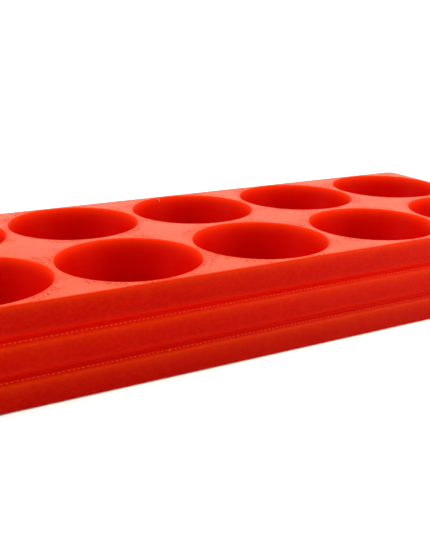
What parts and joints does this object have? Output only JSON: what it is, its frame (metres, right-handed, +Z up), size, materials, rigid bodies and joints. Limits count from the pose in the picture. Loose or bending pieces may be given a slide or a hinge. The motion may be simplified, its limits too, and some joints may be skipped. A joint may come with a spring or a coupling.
{
  "type": "paint rack",
  "caption": "Printed rack with two rows of round pockets that hold hobby paint jars upright; the pocket block lifts off a pegged base plate.",
  "frame": {"origin": "centre of the underside", "axes": "+X along the rack, +Z up, front long side faces -Y"},
  "size_m": [0.2158, 0.0882, 0.027],
  "materials": {
    "red_plastic": "gloss"
  },
  "bodies": {
    "base": {"base_plate": "red_plastic"},
    "block": {"pocket_block": "red_plastic"}
  },
  "joints": [
    {"name": "block_lift", "type": "slide", "parent": "base", "child": "block", "axis": [0, 0, 1], "range_m": [0, 0.03]}
  ]
}
